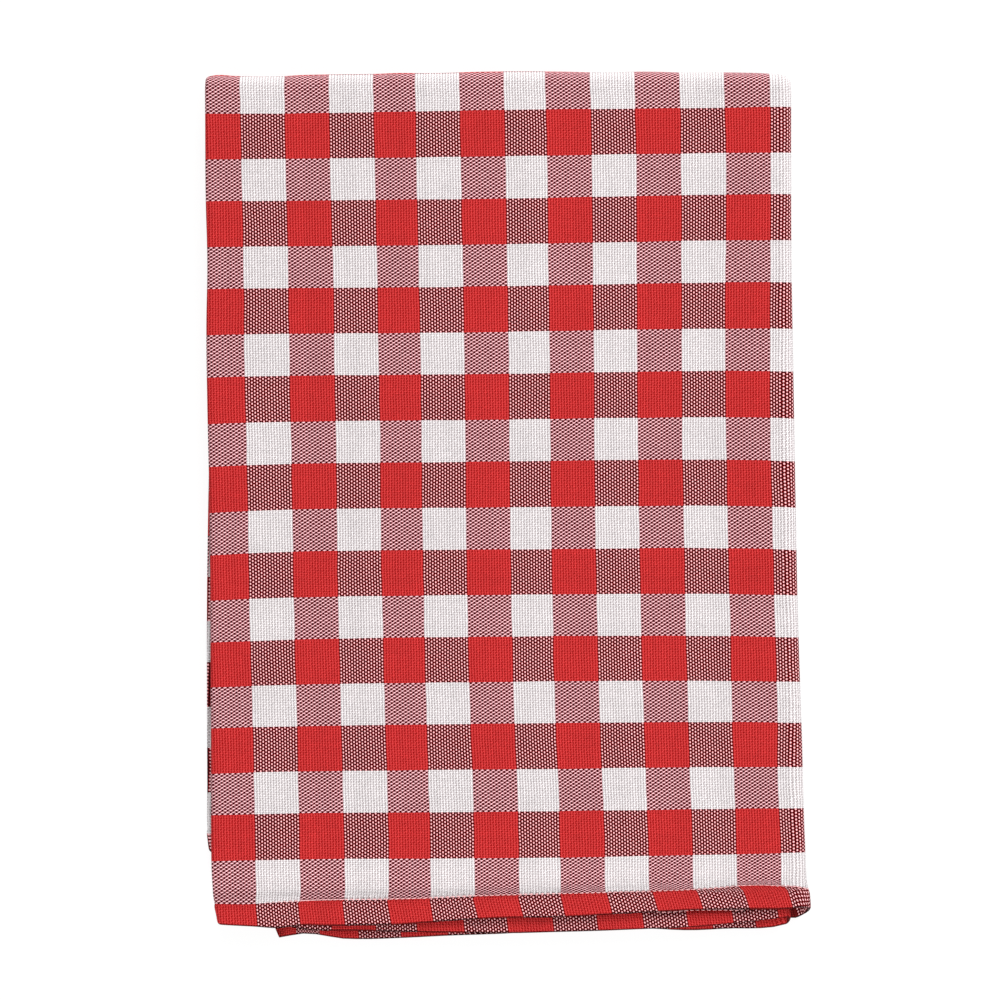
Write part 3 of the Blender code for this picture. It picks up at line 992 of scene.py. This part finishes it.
def uneven_light(tree, i, j, mottle, fibres):
    """Each float and each thread is a little lighter or darker."""
    shares = (
        (random_value(tree, i, j), FLOAT_LIGHT), (random_value(tree, i), END_LIGHT),
        (random_value(tree, j + OWN_SEED), PICK_LIGHT), (mottle, MOTTLE_LIGHT),
        (fibres, FIBRE_LIGHT),
    )
    light = 1.0
    for value, share in shares:
        light = light + (value - 0.5) * share
    return light


def shaded_places(tree, light, u, v):
    """The hems' edges, the hems below and the hollow at the outer fold are in shade."""
    rim, on_top = uv_terms(tree, "rim")
    light = light * (1.0 - (1.0 - rim.ramp(RIM_FROM / RIM_REACH, RIM_TO / RIM_REACH)) * RIM_DEPTH)
    light = light * (1.0 - (1.0 - on_top) * BELOW_DEPTH)
    near, full, fading, far = (end + FIRST_END for end in HOLLOW_ENDS)
    hollow = u.ramp(near, full) * (1.0 - u.ramp(fading, far))
    hollow = hollow * v.ramp(*(pick + FIRST_PICK for pick in HOLLOW_PICKS))
    return light * (1.0 - hollow * HOLLOW_DEPTH)


def weave_material():
    found = bpy.data.materials.new("checked_cotton")
    found.use_nodes = True
    tree = found.node_tree
    shader = tree.nodes["Principled BSDF"]
    u, v = (count * THREADS_PER_UNIT for count in uv_terms(tree, "threads"))

    # the threads don't lie quite straight
    drift = noise(tree, u, v, WOBBLE_SCALE, WOBBLE_DETAIL)
    channels = tree.nodes.new("ShaderNodeSeparateColor")
    tree.links.new(drift.outputs["Color"], channels.inputs[0])
    drift_u, drift_v, mottle = (Term(tree, channels.outputs[k]) for k in range(3))
    u = u + (drift_u - 0.5) * WOBBLE
    v = v + (drift_v - 0.5) * WOBBLE
    fibres = Term(tree, noise(tree, u, v, FIBRE_SCALE, FIBRE_DETAIL).outputs["Fac"])

    i, j = u.of("FLOOR"), v.of("FLOOR")
    warp_shows, height = weave(u - i - 0.5, v - j - 0.5, (i + j).of("PINGPONG", 1.0))
    warp_red, weft_red = check(i, j)
    colour = yarn_colour(tree, warp_red, weft_red, warp_shows, height)
    light = shaded_places(tree, uneven_light(tree, i, j, mottle, fibres), u, v)
    tree.links.new(scaled_colour(tree, colour, light), shader.inputs["Base Color"])

    bump = tree.nodes.new("ShaderNodeBump")
    bump.inputs["Strength"].default_value = BUMP_STRENGTH
    bump.inputs["Distance"].default_value = BUMP_DISTANCE
    relief = height.of("MAXIMUM", BUMP_FLOOR) + fibres * FIBRE_BUMP
    tree.links.new(relief.socket, bump.inputs["Height"])
    tree.links.new(bump.outputs[0], shader.inputs["Normal"])
    roughness = ROUGHNESS + fibres * FIBRE_ROUGHNESS
    tree.links.new(roughness.socket, shader.inputs["Roughness"])
    shader.inputs["Specular IOR Level"].default_value = SPECULAR
    shader.inputs["Sheen Weight"].default_value = SHEEN
    shader.inputs["Sheen Roughness"].default_value = SHEEN_ROUGHNESS
    return found


# ---- Scene --------------------------------------------------------------------------------------

SEWING_COLOUR, SEWING_ROUGHNESS = (272, 208, 209), 0.8
FLOOR_HALF = 3.0
FLOOR_GREY, FLOOR_ROUGHNESS, FLOOR_GLOW = 0.13, 0.9, 0.88
WORLD_LIGHT = 0.35
LIGHT_SIZE = 1.0
LIGHTS = {
    "columns": ("name", "place", "power"),
    "rows": (
        ("near", (0.0, -1.99, 0.93), 47.0), ("far", (0.0, 1.99, 0.93), 29.0),
        ("side", (1.41, 1.41, 0.93), 30.0),
    ),
}
CAMERA_HEIGHT = 1.6
CAMERA_PLACE = (-0.00251, 0.00172)
FOCUS_HEIGHT = 0.009       # at which the picture is as wide as the next value says
VIEW_WIDTH = 0.3025
SENSOR_WIDTH = 36.0        # in millimetres
NEAREST, FARTHEST = 0.05, 20.0
WHITE = (1.0, 1.0, 1.0, 1.0)


def plain_material(name, colour, roughness, glow=0.0):
    found = bpy.data.materials.new(name)
    found.use_nodes = True
    shader = found.node_tree.nodes["Principled BSDF"]
    shader.inputs["Base Color"].default_value = (*colour, 1.0)
    shader.inputs["Roughness"].default_value = roughness
    shader.inputs["Emission Color"].default_value = WHITE
    shader.inputs["Emission Strength"].default_value = glow
    return found


def add_floor():
    mesh = bpy.data.meshes.new("floor")
    corners = [(x * FLOOR_HALF, y * FLOOR_HALF, 0) for x, y in ((-1, -1), (1, -1), (1, 1), (-1, 1))]
    mesh.from_pydata(corners, [], [(0, 1, 2, 3)])
    mesh.materials.append(
        plain_material("pale_floor", (FLOOR_GREY,) * 3, FLOOR_ROUGHNESS, FLOOR_GLOW))
    add_object("floor", mesh)


def add_lights():
    for row in rows_of(LIGHTS):
        data = bpy.data.lights.new(row["name"], "AREA")
        data.shape, data.size, data.energy = "DISK", LIGHT_SIZE, row["power"]
        light = add_object(row["name"], data)
        light.location = row["place"]
        light.rotation_euler = (-Vector(row["place"])).to_track_quat("-Z", "Y").to_euler()
    world = bpy.data.worlds.new("studio")
    world.use_nodes = True
    background = world.node_tree.nodes["Background"]
    background.inputs["Color"].default_value = WHITE
    background.inputs["Strength"].default_value = WORLD_LIGHT
    bpy.context.scene.world = world


def add_camera():
    data = bpy.data.cameras.new("camera")
    data.sensor_width = SENSOR_WIDTH
    data.lens = SENSOR_WIDTH * (CAMERA_HEIGHT - FOCUS_HEIGHT) / VIEW_WIDTH
    data.clip_start, data.clip_end = NEAREST, FARTHEST
    camera = add_object("camera", data)
    camera.location = (*CAMERA_PLACE, CAMERA_HEIGHT)
    bpy.context.scene.camera = camera


def set_view():
    bpy.context.scene.view_settings.view_transform = "Standard"
    bpy.context.scene.view_settings.look = "None"


cloth = build_cloth()
cloth.data.materials.append(weave_material())
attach(cloth, "root")
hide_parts("towel")

stitching = build_stitches()
stitching.data.materials.append(
    plain_material("sewing_thread", seen(*SEWING_COLOUR), SEWING_ROUGHNESS))
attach(stitching, "root")
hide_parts("towel")

add_floor()
add_lights()
add_camera()
set_view()
